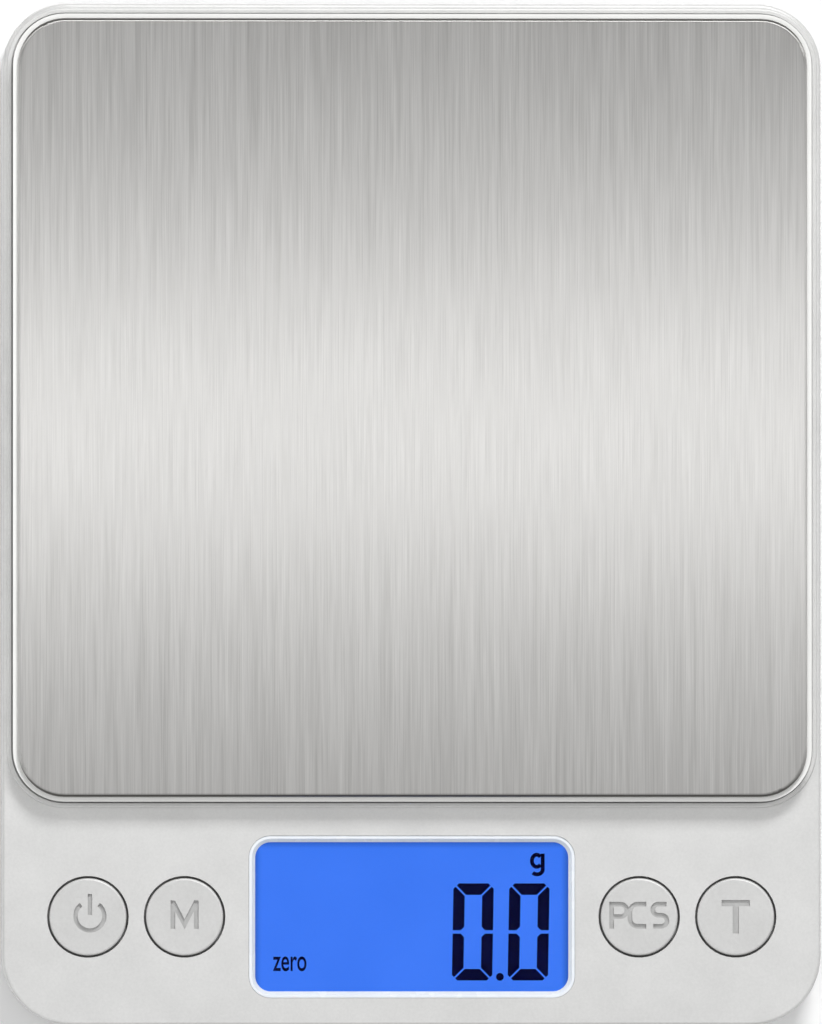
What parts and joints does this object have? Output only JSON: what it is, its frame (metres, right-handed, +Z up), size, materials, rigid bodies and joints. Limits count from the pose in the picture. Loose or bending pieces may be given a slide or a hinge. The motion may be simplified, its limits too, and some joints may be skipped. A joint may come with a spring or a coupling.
{
  "type": "digital gram scale",
  "caption": "Flat pocket scale with a square brushed steel weighing plate over a load cell, a front panel with a lit display and four round keys, and a battery door below.",
  "frame": {"origin": "on the surface that the feet stand on, under the middle of the casing's outline", "axes": "+Z up, +Y from the front panel towards the back of the platform, +X to the right"},
  "size_m": [0.105, 0.131, 0.02],
  "materials": {
    "silver_abs": "silver paint on moulded ABS, satin",
    "key_abs": "silver paint on moulded ABS, satin, engraved legends",
    "stainless_steel": "brushed along its depth",
    "carrier_abs": "moulded ABS, satin",
    "foot_rubber": "soft translucent grey rubber, matte",
    "bezel_white": "white ABS, gloss",
    "clear_acrylic": "clear acrylic, polished",
    "lcd_glass": "polished glass",
    "polarizer_film": "smooth film lit from behind",
    "backlight_blue": "blue light guide",
    "board_green": "solder mask on glass fibre board",
    "chip_black": "black epoxy",
    "component_can": "satin",
    "conductive_rubber": "matte",
    "switch_plastic": "moulded nylon",
    "cell_aluminium": "milled, clear anodised",
    "gauge_sealant": "silicone, matte",
    "zinc_steel": "zinc plated steel",
    "tape_foam": "foam tape",
    "battery_jacket": "plain printed jacket, gloss",
    "nickel_plate": "nickel plated spring steel",
    "wire_red": "PVC insulation",
    "wire_black": "PVC insulation",
    "wire_white": "PVC insulation",
    "wire_green": "PVC insulation",
    "solder_tin": "tin solder, bright"
  },
  "bodies": {
    "root": {"back_battery": "battery_jacket", "back_battery_spring": "nickel_plate", "backlight_guide": "backlight_blue", "base_shell": "silver_abs", "base_shim": "zinc_steel", "battery_wire_black": "wire_black", "battery_wire_red": "wire_red", "board_parts": "component_can", "board_screws": "zinc_steel", "case_screws": "zinc_steel", "cell_base_screws": "zinc_steel", "cell_wire_black": "wire_black", "cell_wire_green": "wire_green", "cell_wire_red": "wire_red", "cell_wire_white": "wire_white", "chip_cover": "chip_black", "contact_bridge": "nickel_plate", "contact_negative": "nickel_plate", "contact_positive": "nickel_plate", "count_switch": "switch_plastic", "display_bezel": "bezel_white", "display_lens": "clear_acrylic", "foot_back_left": "foot_rubber", "foot_back_right": "foot_rubber", "foot_front_left": "foot_rubber", "foot_front_right": "foot_rubber", "front_battery": "battery_jacket", "front_battery_spring": "nickel_plate", "front_polarizer": "polarizer_film", "gauge_coat": "gauge_sealant", "lcd_frame": "bezel_white", "lcd_front_glass": "lcd_glass", "lcd_rear_glass": "lcd_glass", "load_cell": "cell_aluminium", "main_board": "board_green", "mode_switch": "switch_plastic", "overload_screw": "zinc_steel", "power_switch": "switch_plastic", "rear_polarizer": "polarizer_film", "solder_joints": "solder_tin", "tare_switch": "switch_plastic", "top_shell": "silver_abs", "zebra_strip": "conductive_rubber"},
    "platform": {"weighing_plate": "stainless_steel", "plate_tape": "tape_foam", "platform_carrier": "carrier_abs", "platform_shim": "zinc_steel", "cell_platform_screws": "zinc_steel"},
    "door": {"battery_door": "silver_abs", "door_latch": "silver_abs"},
    "power_key": {"power_button": "key_abs", "power_plunger": "switch_plastic"},
    "mode_key": {"mode_button": "key_abs", "mode_plunger": "switch_plastic"},
    "count_key": {"count_button": "key_abs", "count_plunger": "switch_plastic"},
    "tare_key": {"tare_button": "key_abs", "tare_plunger": "switch_plastic"}
  },
  "joints": [
    {"name": "platform_load", "type": "slide", "parent": "root", "child": "platform", "axis": [0, 0, -1], "range_m": [0, 0.0004], "stiffness_N_per_m": 50000, "deforming": ["load_cell", "gauge_coat"]},
    {"name": "power_press", "type": "slide", "parent": "root", "child": "power_key", "axis": [0, 0, -1], "range_m": [0, 0.0003], "stiffness_N_per_m": 2000},
    {"name": "mode_press", "type": "slide", "parent": "root", "child": "mode_key", "axis": [0, 0, -1], "range_m": [0, 0.0003], "stiffness_N_per_m": 2000},
    {"name": "count_press", "type": "slide", "parent": "root", "child": "count_key", "axis": [0, 0, -1], "range_m": [0, 0.0003], "stiffness_N_per_m": 2000},
    {"name": "tare_press", "type": "slide", "parent": "root", "child": "tare_key", "axis": [0, 0, -1], "range_m": [0, 0.0003], "stiffness_N_per_m": 2000},
    {"name": "door_tip", "type": "hinge", "parent": "root", "child": "door", "pos_m": [0, 0.03505, 0.0008], "axis": [-1, 0, 0], "range_deg": [0, 50], "deforming": ["door_latch"]}
  ]
}
